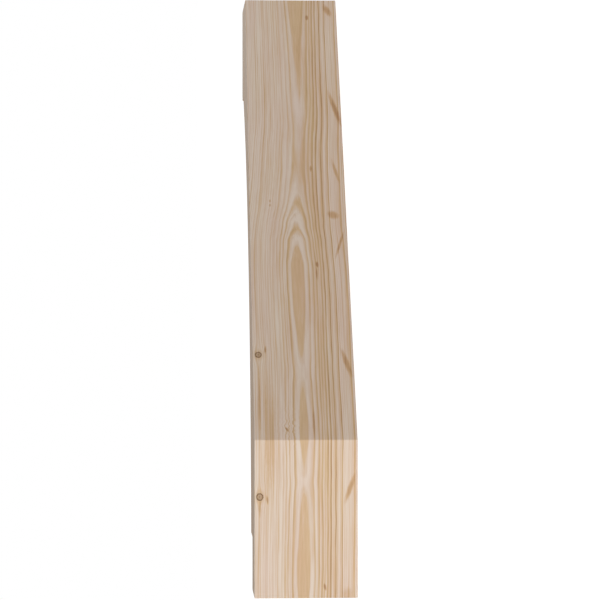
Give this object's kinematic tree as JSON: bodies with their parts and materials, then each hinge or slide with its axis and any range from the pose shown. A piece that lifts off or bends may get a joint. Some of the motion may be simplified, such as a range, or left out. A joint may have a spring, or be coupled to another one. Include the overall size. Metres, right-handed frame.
{
  "type": "wooden knee brace",
  "caption": "Solid timber knee brace with a straight back, an arched underside and a square nose at each end, for the corner of a post and a beam.",
  "frame": {"origin": "centre of the brace's box on the floor, as it lies flat on one side face", "axes": "+X up in use, from the foot to the beam face; +Y out in use, from the wall face to the end of the head; +Z the thickness of the timber, up from the side face that it lies on"},
  "size_m": [0.8636, 0.6604, 0.1397],
  "materials": {
    "timber": "smooth planed softwood, bare and unfinished"
  },
  "bodies": {
    "root": {"knee_brace": "timber"}
  },
  "joints": []
}
